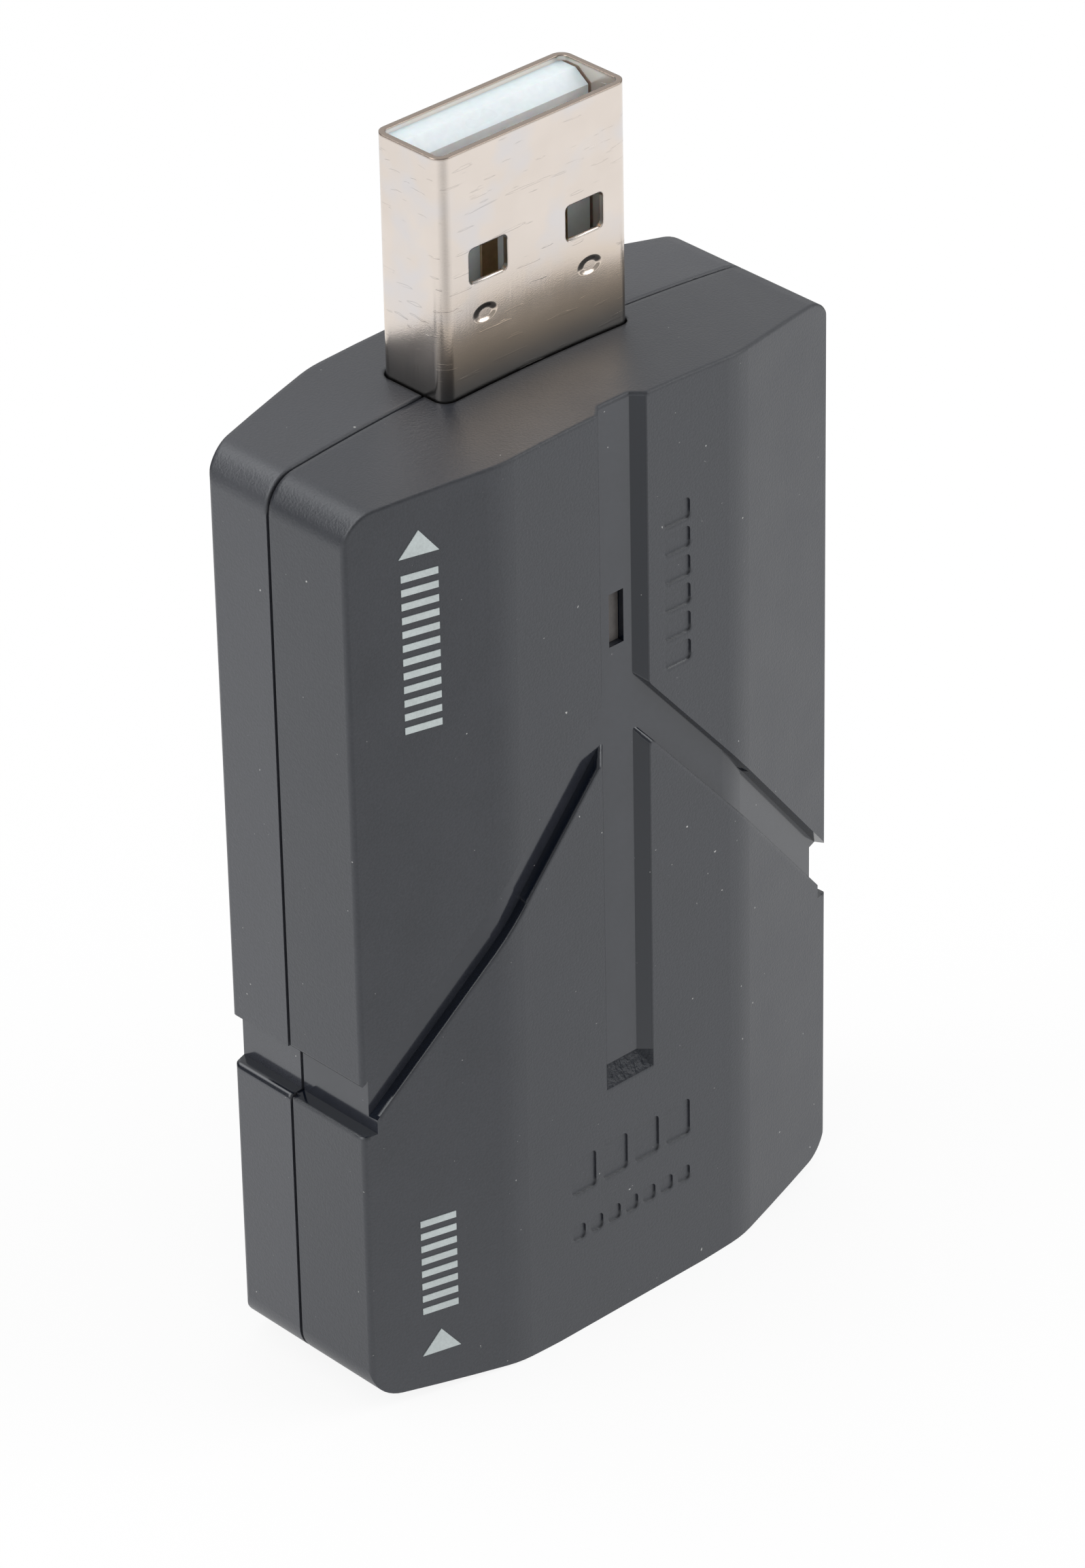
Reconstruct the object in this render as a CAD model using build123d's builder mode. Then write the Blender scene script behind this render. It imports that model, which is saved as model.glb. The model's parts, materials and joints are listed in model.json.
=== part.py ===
"""Video capture box: a small two-shell case with a USB plug on one end and an HDMI socket on the other.

The box stands on its socket end. Z is up along the plug, -Y is the grooved front face and +X is that
face's right. The pieces are drawn with their depths taken from the plane where the shells meet, and each
is then moved so that the origin is the middle of the lower end. Lengths are in millimetres.
"""

import os
from math import atan2, cos, degrees, radians, sin, tan

from build123d import *

os.makedirs("parts", exist_ok=True)

# Case, scaled by the plug's width
case_width = 31.4
case_height = 51.2
front_depth = 7.3
front_side_depth = 5.2
rear_depth = 6.0
rear_side_depth = 4.15
facet_half = 7.7
facet_blend = 6.0
end_crown_radius = 130.0
base_flat_half = 5.0
corner_radius = 1.8
edge_radius = 0.3
wall = 1.6
inner_radius = 0.4
match = 0.01

# Meeting of the two shells
reveal = 0.2
reveal_depth = 0.45
reveal_bite = 0.15
lip_thickness = 0.6
lip_height = 1.1
lip_clearance = 0.1
snap_length = 5.0
snap_height = 0.5
snap_reach = 0.3
snap_depth = -0.7
snap_low = 8.6
snap_drop = 17.2

# Front grooves
groove_depth = 0.6
channel_width = 3.2
channel_end = 13.4
channel_ramp_length = 1.0
fork_drop = 15.8
fork_width = 3.05
fork_draft = 8.0
fork_corner_radius = 0.2
side_lower = 16.27
side_groove_depth = 0.75
side_width = 2.9
side_draft = 0.08
side_edge_radius = 0.3
groove_margin = 1.0

# Indicator
window_width = 0.95
window_height = 2.9
window_drop = 11.8
guide_recess = 0.35
guide_clearance = 0.03
guide_flange = 0.6
guide_flange_thickness = 0.8
guide_gap = 0.06

# Marks, in place of the wording
mark_thickness = 0.04
arrow_width = 2.1
arrow_height = 1.3
mark_side_gap = 3.88
output_arrow_drop = 3.7
input_arrow_level = 2.45
dash_width = 1.95
dash_height = 0.36
dash_pitch = 0.74
output_dashes = 12
output_dashes_drop = 4.76
input_dashes = 8
input_dashes_low = 5.1
deboss_depth = 0.1
deboss_radius = 0.25
title_blocks = 4
title_width = 1.65
title_height = 2.1
title_pitch = 2.15
title_level = 9.3
subtitle_blocks = 7
subtitle_width = 0.85
subtitle_height = 0.9
subtitle_pitch = 1.2
subtitle_level = 5.95
status_blocks = 6
status_width = 1.7
status_height = 1.15
status_pitch = 1.55
status_reach = 3.5
status_drop = 11.1

# USB plug
plug_width = 12.0
plug_height = 4.5
plug_exposed = 12.55
plug_inside = 5.9
plug_sheet = 0.3
plug_radius = 0.65
plug_shift_x = 0.2
plug_shift_y = 0.81
plug_clearance = 0.1
plug_window_width = 2.45
plug_window_height = 1.87
plug_window_radius = 0.3
plug_window_reach = 3.07
plug_window_drop = 6.12
plug_tongue_thickness = 1.9
plug_tongue_width = 11.2
plug_tongue_recess = 0.3
plug_tongue_chamfer = 0.85
plug_tongue_slope = 0.6
plug_base_top = 0.8
plug_contact_width = 1.0
plug_contact_thickness = 0.15
plug_contact_inner = 1.0
plug_contact_outer = 3.5
plug_contact_recess = 1.1

# HDMI socket
socket_width = 14.0
socket_height = 4.55
socket_narrow = 9.6
socket_step = 2.3
socket_sheet = 0.4
socket_length = 11.5
socket_recess = 0.4
socket_clearance = 0.1
socket_tongue_width = 10.8
socket_tongue_recess = 1.6
socket_base_length = 3.0
socket_contact_width = 0.3
socket_contact_thickness = 0.12
socket_contact_pitch = 1.0
socket_contact_recess = 0.5
socket_front_contacts = 10
socket_rear_contacts = 9
contact_lap = 1.6

# Circuit board
board_side_gap = 1.2
board_thickness = 1.0
board_gap = 0.05
board_radius = 0.6
post_diameter = 2.4
pin_diameter = 0.9
pin_clearance = 0.1
post_side_inset = 1.5
post_low_inset = 2.65
post_high_inset = 2.85
saddle_thickness = 1.2
saddle_drop = 1.4

# Pieces on the board
piece_gap = 0.3
chip_side = 10.0
chip_height = 1.4
chip_corner = 0.4
chip_dot_shift = 1.2
chip_dot_diameter = 0.8
chip_sides = 4
chip_lead_width = 0.24
chip_lead_length = 1.0
chip_lead_thickness = 0.18
chip_lead_pitch = 0.56
chip_leads_per_side = 16
memory_width = 3.9
memory_length = 4.9
memory_height = 1.4
memory_side_gap = 0.95
memory_lead_pitch = 1.27
memory_lead_width = 0.4
memory_lead_length = 0.9
memory_leads_per_side = 4
crystal_width = 3.2
crystal_length = 5.0
crystal_height = 1.1
crystal_reach = -8.9
regulator_width = 3.5
regulator_length = 6.5
regulator_height = 1.6
regulator_reach = -8.6
inductor_side = 4.0
inductor_height = 2.0
inductor_reach = -8.2
can_diameter = 4.0
can_height = 4.2
can_base_side = 4.3
can_base_height = 0.9
can_reach = 8.2
esd_width = 3.0
esd_length = 1.6
esd_height = 1.0
esd_reach = 2.8
ceramic_width = 0.8
ceramic_length = 1.6
ceramic_height = 0.8
ceramic_reach = 9.0
ceramic_pitch = 2.1
ceramic_columns = 2
ceramic_rows = 3
resistor_width = 0.8
resistor_length = 1.6
resistor_height = 0.45
resistor_pitch_x = 1.7
resistor_pitch_z = 2.1
resistor_columns = 4
resistor_rows = 2
led_width = 0.8
led_length = 1.6
led_height = 0.7

# Positions that follow
half_width = case_width / 2
facet_run = half_width - facet_half
facet_tilt = degrees(atan2(front_depth - front_side_depth, facet_run))
tilt = radians(facet_tilt)
case_depth = front_depth + rear_depth
crown_drop = base_flat_half**2 / (2 * end_crown_radius)
fork_upper = case_height - fork_drop
fork_lower = fork_upper - fork_width
side_upper = side_lower + side_width
window_level = case_height - window_drop
status_level = case_height - status_drop
arrow_reach = mark_side_gap - facet_run / cos(tilt)
output_arrow_level = case_height - output_arrow_drop
output_dashes_low = case_height - output_dashes_drop - dash_pitch * (output_dashes - 1)
plug_tip = case_height + plug_exposed
plug_foot = case_height - plug_inside
plug_back = plug_shift_y + plug_height / 2 - plug_sheet
board_front = plug_back - plug_tongue_thickness
board_back = board_front + board_thickness
board_middle = board_front + board_thickness / 2
board_top = plug_foot - board_gap
socket_mouth = socket_recess
socket_top = socket_recess + socket_length
board_bottom = socket_top + board_gap
board_half = half_width - wall - board_side_gap
post_reach_x = board_half - post_side_inset
post_low = board_bottom + post_low_inset
post_high = board_top - post_high_inset
low_seat = post_low + post_diameter / 2 + piece_gap
high_seat = post_high - post_diameter / 2 - piece_gap
inductor_level = low_seat + inductor_side / 2
can_level = low_seat + can_base_side / 2
regulator_level = high_seat - regulator_length / 2
crystal_level = (low_seat + inductor_side + high_seat - regulator_length) / 2
memory_reach = board_half - memory_side_gap - memory_lead_length - memory_width / 2
memory_level = high_seat - memory_length / 2
ceramic_level = (low_seat + can_base_side + high_seat - memory_length) / 2
esd_level = board_bottom + contact_lap + piece_gap + esd_length / 2
chip_level = (esd_level + esd_length / 2 + window_level - led_length / 2) / 2
resistor_level = (
    chip_level + chip_side / 2 + chip_lead_length + piece_gap + resistor_length / 2
    + resistor_pitch_z * (resistor_rows - 1) / 2
)
front_face = Plane(origin=(0, -front_depth, 0), x_dir=(1, 0, 0), z_dir=(0, -1, 0))
board_face = Plane(origin=(0, board_front, 0), x_dir=(1, 0, 0), z_dir=(0, -1, 0))
right_facet = Plane(
    origin=(facet_half, -front_depth, 0),
    x_dir=(cos(tilt), sin(tilt), 0),
    z_dir=(sin(tilt), -cos(tilt), 0),
)
left_facet = Plane(
    origin=(-facet_half, -front_depth, 0),
    x_dir=(cos(tilt), -sin(tilt), 0),
    z_dir=(-sin(tilt), -cos(tilt), 0),
)


def facet_y(x):
    """Depth of the front face at a distance x from the middle, within a side facet."""
    return -front_depth + (x - facet_half) * tan(tilt)


def fork_line(x, upper):
    """Level of a slanting groove's upper or lower edge at a distance x from the middle."""
    start = fork_upper if upper else fork_lower
    end = side_upper if upper else side_lower
    share = (x - channel_width / 2) / (half_width - channel_width / 2)
    return start + (end - start) * share


def corners_at(sketch, x):
    """Corners of a sketch that lie at x on either side of the middle."""
    return sketch.vertices().filter_by(lambda corner: abs(abs(corner.X) - x) < match)


def case_block(inset):
    """The case's outer form, drawn in all round by inset."""
    half = half_width - inset
    with BuildPart() as block:
        with BuildSketch() as section:
            with BuildLine():
                Polyline(
                    (-facet_half, inset - front_depth),
                    (facet_half, inset - front_depth),
                    (half, inset - front_side_depth),
                    (half, rear_side_depth - inset),
                    (facet_half, rear_depth - inset),
                    (-facet_half, rear_depth - inset),
                    (-half, rear_side_depth - inset),
                    (-half, inset - front_side_depth),
                    close=True,
                )
            make_face()
            fillet(corners_at(section, half), radius=edge_radius)
            fillet(corners_at(section, facet_half), radius=facet_blend)
        extrude(amount=case_height)
        with BuildSketch(Plane.XZ) as elevation:
            with Locations((0, case_height - end_crown_radius - inset)):
                Circle(end_crown_radius)
            with Locations((0, end_crown_radius - crown_drop + inset)):
                Circle(end_crown_radius, mode=Mode.INTERSECT)
            with Locations((0, case_height / 2)):
                Rectangle(half * 2, case_height - inset * 2, mode=Mode.INTERSECT)
            fillet(corners_at(elevation, half), radius=max(corner_radius - inset, inner_radius))
        extrude(amount=case_depth, both=True, mode=Mode.INTERSECT)
    return block.part


def slab(low, high):
    """Everything between two depths, as wide and tall as the case."""
    with BuildPart() as layer:
        with Locations((0, (low + high) / 2, case_height / 2)):
            Box(case_width + wall, high - low, case_height + wall)
    return layer.part


def plug_section(growth, radius):
    """Outline of the USB plug, drawn out all round by growth."""
    with BuildSketch() as section:
        with Locations((plug_shift_x, plug_shift_y)):
            RectangleRounded(plug_width + growth * 2, plug_height + growth * 2, radius)
    return section.sketch


def socket_section(growth):
    """Outline of the HDMI socket's mouth, drawn out all round by growth."""
    half = socket_width / 2
    front = board_middle - socket_height / 2
    back = board_middle + socket_height / 2
    with BuildSketch() as section:
        with BuildLine():
            Polyline(
                (-socket_narrow / 2, front),
                (socket_narrow / 2, front),
                (half, back - socket_step),
                (half, back),
                (-half, back),
                (-half, back - socket_step),
                close=True,
            )
        make_face()
        if growth > 0:
            offset(amount=growth, kind=Kind.INTERSECTION)
    return section.sketch


def plug_passage():
    """Space that the USB plug takes up in the case, with its clearance."""
    with BuildPart() as passage:
        with BuildSketch(Plane.XY.offset(plug_foot)):
            add(plug_section(plug_clearance, plug_radius + plug_clearance))
        extrude(amount=plug_inside + groove_margin)
    return passage.part


def socket_passage():
    """Space that the HDMI socket takes up in the case, with its clearance."""
    with BuildPart() as passage:
        with BuildSketch(Plane.XY.offset(-groove_margin)):
            add(socket_section(socket_sheet + socket_clearance))
        extrude(amount=socket_top + groove_margin)
    return passage.part


def reveal_line():
    """Fine open line round the case where the two shells meet."""
    with BuildPart() as line:
        add(slab(-reveal / 2, reveal / 2))
        add(case_block(reveal_depth), mode=Mode.SUBTRACT)
        with Locations((half_width, 0, (side_lower + side_upper) / 2)):
            Box((side_groove_depth + reveal_bite) * 2, reveal, side_upper - side_lower)
        mirror(about=Plane.YZ)
    return line.part


def channel_cut():
    """Upright channel down the middle of the front face, with its sloping lower end."""
    floor_half = channel_width / 2 - groove_depth
    floor_y = groove_depth - front_depth
    outer_y = -front_depth - groove_margin
    start = channel_end - groove_margin * channel_ramp_length / groove_depth
    with BuildPart() as channel:
        with BuildSketch(Plane.XY.offset(start)):
            with BuildLine():
                Polyline(
                    (-channel_width / 2 - groove_margin, outer_y),
                    (channel_width / 2 + groove_margin, outer_y),
                    (floor_half, floor_y),
                    (-floor_half, floor_y),
                    close=True,
                )
            make_face()
        extrude(amount=case_height)
        with BuildSketch(Plane.YZ):
            with BuildLine():
                Polyline(
                    (outer_y, start),
                    (floor_y, channel_end + channel_ramp_length),
                    (floor_y, start),
                    close=True,
                )
            make_face()
        extrude(amount=channel_width + groove_margin, both=True, mode=Mode.SUBTRACT)
    return channel.part


def fork_strip(plane, inner, outer, stretch, shift):
    """Tapered strip of a slanting groove between two distances from the middle, on one face."""
    with BuildPart() as strip:
        with BuildSketch(plane):
            with BuildLine():
                Polyline(
                    ((inner - shift) * stretch, fork_line(inner, True)),
                    ((outer - shift) * stretch, fork_line(outer, True)),
                    ((outer - shift) * stretch, fork_line(outer, False)),
                    ((inner - shift) * stretch, fork_line(inner, False)),
                    close=True,
                )
            make_face()
        extrude(amount=-groove_depth - groove_margin / 2, taper=fork_draft)
    return strip.part


def fork_cut():
    """Both slanting grooves of the front face, with a floor that follows its facets."""
    outer_y = -front_depth - groove_margin
    outer_x = half_width + groove_margin
    with BuildPart() as fork:
        add(fork_strip(front_face, 0, facet_half + groove_margin, 1, 0))
        add(fork_strip(right_facet, facet_half - groove_margin, outer_x, 1 / cos(tilt), facet_half))
        with BuildSketch() as floor:
            with BuildLine():
                Polyline(
                    (0, outer_y),
                    (outer_x, outer_y),
                    (outer_x, facet_y(outer_x) + groove_depth / cos(tilt)),
                    (facet_half, groove_depth - front_depth),
                    (0, groove_depth - front_depth),
                    close=True,
                )
            make_face()
            fillet(corners_at(floor, facet_half), radius=facet_blend - groove_depth)
        extrude(amount=case_height, mode=Mode.INTERSECT)
        mirror(about=Plane.YZ)
    return fork.part


def fork_corners(shell):
    """Edges of a shell where the slanting grooves' walls turn into the channel's."""
    return shell.edges().filter_by(
        lambda edge: abs(abs((edge @ 0).X - (edge @ 1).X) - groove_depth) < match
        and abs(abs((edge @ 0).Y - (edge @ 1).Y) - groove_depth) < match
        and channel_end + channel_ramp_length < (edge @ 0).Z < window_level
    )


def side_cut():
    """Level groove across both side faces, where the slanting grooves come round."""
    floor_x = half_width - side_groove_depth
    rim_x = half_width + match
    outer_x = half_width + groove_margin
    low_mouth = side_lower - groove_margin
    high_mouth = side_upper + groove_margin
    with BuildPart() as side:
        with BuildSketch(Plane.XZ) as section:
            with BuildLine():
                Polyline(
                    (outer_x, low_mouth),
                    (rim_x, low_mouth),
                    (rim_x, side_lower),
                    (floor_x, side_lower + side_draft),
                    (floor_x, side_upper - side_draft),
                    (rim_x, side_upper),
                    (rim_x, high_mouth),
                    (outer_x, high_mouth),
                    close=True,
                )
            make_face()
            mouth = corners_at(section, rim_x).sort_by(Axis.Z)
            fillet(mouth[1:-1], radius=side_edge_radius)
        extrude(amount=case_depth, both=True)
        mirror(about=Plane.YZ)
    return side.part


def debossed_blocks():
    """Shallow plain blocks in the front face, where wording would be."""
    with BuildPart() as blocks:
        with BuildSketch(front_face):
            with Locations((0, title_level)):
                with GridLocations(title_pitch, 0, title_blocks, 1):
                    RectangleRounded(title_width, title_height, deboss_radius)
            with Locations((0, subtitle_level)):
                with GridLocations(subtitle_pitch, 0, subtitle_blocks, 1):
                    RectangleRounded(subtitle_width, subtitle_height, deboss_radius)
            with Locations((status_reach, status_level)):
                with GridLocations(0, status_pitch, 1, status_blocks):
                    RectangleRounded(status_width, status_height, deboss_radius)
        extrude(amount=-deboss_depth)
    return blocks.part


case_outer = case_block(0)
case_inner = case_block(wall)


def lip_ring(clearance):
    """Ring that the rear shell's lip fills inside the front shell's wall, grown by a clearance."""
    with BuildPart() as ring:
        add(case_block(wall - lip_thickness - clearance))
        add(case_inner, mode=Mode.SUBTRACT)
        add(slab(-lip_height - clearance, 0), mode=Mode.INTERSECT)
    return ring.part


def snap_ridges(clearance):
    """Four small ridges on the outside of the lip, grown by a clearance."""
    lip_face = half_width - wall + lip_thickness
    with BuildPart() as ridges:
        for level in (snap_low, case_height - snap_drop):
            with Locations((lip_face + (snap_reach + clearance) / 2, snap_depth, level)):
                Box(
                    snap_reach + clearance,
                    snap_height + clearance * 2,
                    snap_length + clearance * 2,
                )
        mirror(about=Plane.YZ)
    return ridges.part


def board_posts(near, far, diameter):
    """Four round posts at the board's corners, between two depths."""
    with BuildPart() as posts:
        with BuildSketch(Plane.XZ.offset(-far)):
            with Locations((0, (post_low + post_high) / 2)):
                with GridLocations(post_reach_x * 2, post_high - post_low, 2, 2):
                    Circle(diameter / 2)
        extrude(amount=far - near)
    return posts.part


def saddles(near, far):
    """Two cross ribs inside a shell, one round the USB plug and one round the HDMI socket."""
    plug_rib = case_height - wall - saddle_drop - saddle_thickness / 2
    socket_rib = socket_top - saddle_drop
    with BuildPart() as ribs:
        with Locations((0, (near + far) / 2, plug_rib)):
            Box(plug_width + wall * 2, far - near, saddle_thickness)
        with Locations((0, (near + far) / 2, socket_rib)):
            Box(socket_width + wall * 2, far - near, saddle_thickness)
    return ribs.part


def make_front_shell():
    """Grooved front half of the case, with the indicator's window and the board's clamping posts."""
    with BuildPart() as front_shell:
        add(case_outer)
        add(case_inner, mode=Mode.SUBTRACT)
        add(board_posts(facet_y(post_reach_x) + wall / 2, board_front, post_diameter))
        split(bisect_by=Plane.XZ, keep=Keep.TOP)
        add(saddles(wall / 2 - front_depth + groove_depth, -lip_height))
        add(lip_ring(lip_clearance), mode=Mode.SUBTRACT)
        add(snap_ridges(lip_clearance), mode=Mode.SUBTRACT)
        add(plug_passage(), mode=Mode.SUBTRACT)
        add(socket_passage(), mode=Mode.SUBTRACT)
        add(channel_cut(), mode=Mode.SUBTRACT)
        add(fork_cut(), mode=Mode.SUBTRACT)
        fillet(fork_corners(front_shell), radius=fork_corner_radius)
        add(side_cut(), mode=Mode.SUBTRACT)
        add(reveal_line(), mode=Mode.SUBTRACT)
        add(debossed_blocks(), mode=Mode.SUBTRACT)
        with BuildSketch(front_face):
            with Locations((0, window_level)):
                Rectangle(window_width, window_height)
        extrude(amount=-wall - groove_depth, mode=Mode.SUBTRACT)
    front_shell.part.label = "front_shell"
    return front_shell.part


def make_rear_shell():
    """Plain rear half of the case, with the lip, its snap ridges and the board's posts and pins."""
    with BuildPart() as rear_shell:
        add(case_outer)
        split(bisect_by=Plane.XZ, keep=Keep.BOTTOM)
        add(case_inner, mode=Mode.SUBTRACT)
        add(lip_ring(0))
        add(snap_ridges(0))
        add(board_posts(board_back, rear_side_depth, post_diameter))
        add(board_posts(board_front - pin_clearance, board_back, pin_diameter))
        add(saddles(0, rear_depth - wall / 2))
        add(plug_passage(), mode=Mode.SUBTRACT)
        add(socket_passage(), mode=Mode.SUBTRACT)
        add(side_cut(), mode=Mode.SUBTRACT)
        add(reveal_line(), mode=Mode.SUBTRACT)
    rear_shell.part.label = "rear_shell"
    return rear_shell.part


def make_circuit_board():
    """Bare board with four locating holes."""
    with BuildPart() as circuit_board:
        with BuildSketch(board_face):
            with Locations((0, (board_top + board_bottom) / 2)):
                RectangleRounded(board_half * 2, board_top - board_bottom, board_radius)
        extrude(amount=-board_thickness)
        add(
            board_posts(board_front, board_back, pin_diameter + pin_clearance * 2),
            mode=Mode.SUBTRACT,
        )
    circuit_board.part.label = "circuit_board"
    return circuit_board.part


def make_usb_plug_shell():
    """Folded metal sleeve of the plug, with two square windows on each broad side."""
    window_level_z = plug_tip - plug_window_drop
    with BuildPart() as usb_plug_shell:
        with BuildSketch(Plane.XY.offset(plug_foot)):
            add(plug_section(0, plug_radius))
            add(plug_section(-plug_sheet, plug_radius - plug_sheet), mode=Mode.SUBTRACT)
        extrude(amount=plug_tip - plug_foot)
        with BuildSketch(Plane.XZ.offset(-plug_shift_y)):
            with Locations((plug_shift_x, window_level_z)):
                with GridLocations(plug_window_reach * 2, 0, 2, 1):
                    RectangleRounded(plug_window_width, plug_window_height, plug_window_radius)
        extrude(amount=plug_height, both=True, mode=Mode.SUBTRACT)
    usb_plug_shell.part.label = "usb_plug_shell"
    return usb_plug_shell.part


def plug_contact_row():
    """The four contact strips of the plug, from near its tip to the board."""
    low = board_top - contact_lap
    high = plug_tip - plug_tongue_recess - plug_contact_recess
    middle_y = board_front - plug_contact_thickness / 2
    with BuildPart() as row:
        with Locations((plug_shift_x, middle_y, (low + high) / 2)):
            for reach in (plug_contact_inner, plug_contact_outer):
                with GridLocations(reach * 2, 0, 2, 1):
                    Box(plug_contact_width, plug_contact_thickness, high - low)
    return row.part


def make_usb_plug_insulator():
    """Plastic core of the plug: a base that fills the sleeve and a tongue that backs the contacts."""
    tongue_top = plug_tip - plug_tongue_recess
    with BuildPart() as usb_plug_insulator:
        with BuildSketch(Plane.XY.offset(plug_foot)):
            add(plug_section(-plug_sheet, plug_radius - plug_sheet))
        extrude(amount=plug_inside + plug_base_top)
        with BuildSketch(Plane.XY.offset(plug_foot)):
            add(plug_section(-plug_sheet, plug_radius - plug_sheet))
            with Locations((plug_shift_x, board_front)):
                Rectangle(
                    plug_tongue_width,
                    plug_tongue_thickness,
                    align=(Align.CENTER, Align.MIN),
                    mode=Mode.INTERSECT,
                )
        extrude(amount=tongue_top - plug_foot)
        with BuildSketch(Plane.YZ):
            with BuildLine():
                Polyline(
                    (board_front, tongue_top - plug_tongue_slope),
                    (board_front + plug_tongue_chamfer, tongue_top),
                    (board_front, tongue_top),
                    close=True,
                )
            make_face()
        extrude(amount=plug_width, both=True, mode=Mode.SUBTRACT)
        add(plug_contact_row(), mode=Mode.SUBTRACT)
    usb_plug_insulator.part.label = "usb_plug_insulator"
    return usb_plug_insulator.part


def make_usb_contacts():
    """The plug's four contacts."""
    with BuildPart() as usb_contacts:
        add(plug_contact_row())
    usb_contacts.part.label = "usb_contacts"
    return usb_contacts.part


def make_hdmi_socket_shell():
    """Folded metal sleeve of the HDMI socket."""
    with BuildPart() as hdmi_socket_shell:
        with BuildSketch(Plane.XY.offset(socket_mouth)):
            add(socket_section(socket_sheet))
            add(socket_section(0), mode=Mode.SUBTRACT)
        extrude(amount=socket_length)
    hdmi_socket_shell.part.label = "hdmi_socket_shell"
    return hdmi_socket_shell.part


def socket_contact_row(count, middle_y):
    """One row of the socket's contact strips, from near its mouth to the board."""
    low = socket_mouth + socket_tongue_recess + socket_contact_recess
    high = board_bottom + contact_lap
    with BuildPart() as row:
        with Locations((0, middle_y, (low + high) / 2)):
            with GridLocations(socket_contact_pitch, 0, count, 1):
                Box(socket_contact_width, socket_contact_thickness, high - low)
    return row.part


socket_front_row = socket_contact_row(
    socket_front_contacts, board_front - socket_contact_thickness / 2
)
socket_rear_row = socket_contact_row(
    socket_rear_contacts, board_back + socket_contact_thickness / 2
)


def make_hdmi_socket_insulator():
    """Plastic core of the socket: a base that fills the sleeve and a tongue between the contacts."""
    base_level = socket_top - socket_base_length
    tongue_level = socket_mouth + socket_tongue_recess
    with BuildPart() as hdmi_socket_insulator:
        with BuildSketch(Plane.XY.offset(base_level)):
            add(socket_section(0))
        extrude(amount=socket_base_length)
        with BuildSketch(Plane.XY.offset(tongue_level)):
            with Locations((0, board_middle)):
                Rectangle(socket_tongue_width, board_thickness)
        extrude(amount=base_level - tongue_level)
        add(socket_front_row, mode=Mode.SUBTRACT)
        add(socket_rear_row, mode=Mode.SUBTRACT)
    hdmi_socket_insulator.part.label = "hdmi_socket_insulator"
    return hdmi_socket_insulator.part


def make_hdmi_contacts_front():
    """The socket's ten contacts on the board's front side."""
    with BuildPart() as hdmi_contacts_front:
        add(socket_front_row)
    hdmi_contacts_front.part.label = "hdmi_contacts_front"
    return hdmi_contacts_front.part


def make_hdmi_contacts_rear():
    """The socket's nine contacts on the board's rear side."""
    with BuildPart() as hdmi_contacts_rear:
        add(socket_rear_row)
    hdmi_contacts_rear.part.label = "hdmi_contacts_rear"
    return hdmi_contacts_rear.part


def block_on_board(reach, level, width, length, height, label):
    """Plain rectangular piece standing on the board's front side."""
    with BuildPart(board_face) as block:
        with Locations((reach, level)):
            Box(width, length, height, align=(Align.CENTER, Align.CENTER, Align.MIN))
    block.part.label = label
    return block.part


def make_capture_chip():
    """Square chip that turns the picture signal into data, with a dot at its first lead."""
    with BuildPart(board_face) as capture_chip:
        with Locations((0, chip_level)):
            Box(chip_side, chip_side, chip_height, align=(Align.CENTER, Align.CENTER, Align.MIN))
        chamfer(capture_chip.edges().filter_by(Axis.Y), length=chip_corner)
        with BuildSketch(board_face.offset(chip_height)):
            with Locations((chip_dot_shift - chip_side / 2, chip_level + chip_side / 2 - chip_dot_shift)):
                Circle(chip_dot_diameter / 2)
        extrude(amount=-deboss_depth, mode=Mode.SUBTRACT)
    capture_chip.part.label = "capture_chip"
    return capture_chip.part


def make_capture_chip_leads():
    """Leads along the capture chip's four sides."""
    with BuildPart(board_face) as capture_chip_leads:
        with Locations((0, chip_level)):
            with PolarLocations((chip_side + chip_lead_length) / 2, chip_sides):
                with GridLocations(0, chip_lead_pitch, 1, chip_leads_per_side):
                    Box(
                        chip_lead_length,
                        chip_lead_width,
                        chip_lead_thickness,
                        align=(Align.CENTER, Align.CENTER, Align.MIN),
                    )
    capture_chip_leads.part.label = "capture_chip_leads"
    return capture_chip_leads.part


def make_memory_chip_leads():
    """Leads along the memory chip's two long sides."""
    with BuildPart(board_face) as memory_chip_leads:
        with Locations((memory_reach, memory_level)):
            with GridLocations(
                memory_width + memory_lead_length, memory_lead_pitch, 2, memory_leads_per_side
            ):
                Box(
                    memory_lead_length,
                    memory_lead_width,
                    chip_lead_thickness,
                    align=(Align.CENTER, Align.CENTER, Align.MIN),
                )
    memory_chip_leads.part.label = "memory_chip_leads"
    return memory_chip_leads.part


def make_filter_capacitor():
    """Round smoothing capacitor on its square seat."""
    with BuildPart(board_face) as filter_capacitor:
        with Locations((can_reach, can_level)):
            Box(
                can_base_side,
                can_base_side,
                can_base_height,
                align=(Align.CENTER, Align.CENTER, Align.MIN),
            )
            Cylinder(
                can_diameter / 2,
                can_height + can_base_height,
                align=(Align.CENTER, Align.CENTER, Align.MIN),
            )
    filter_capacitor.part.label = "filter_capacitor"
    return filter_capacitor.part


def make_ceramic_capacitors():
    """Two columns of small ceramic capacitors."""
    with BuildPart(board_face) as ceramic_capacitors:
        with Locations((ceramic_reach, ceramic_level)):
            with GridLocations(ceramic_pitch, ceramic_pitch, ceramic_columns, ceramic_rows):
                Box(
                    ceramic_width,
                    ceramic_length,
                    ceramic_height,
                    align=(Align.CENTER, Align.CENTER, Align.MIN),
                )
    ceramic_capacitors.part.label = "ceramic_capacitors"
    return ceramic_capacitors.part


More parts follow.
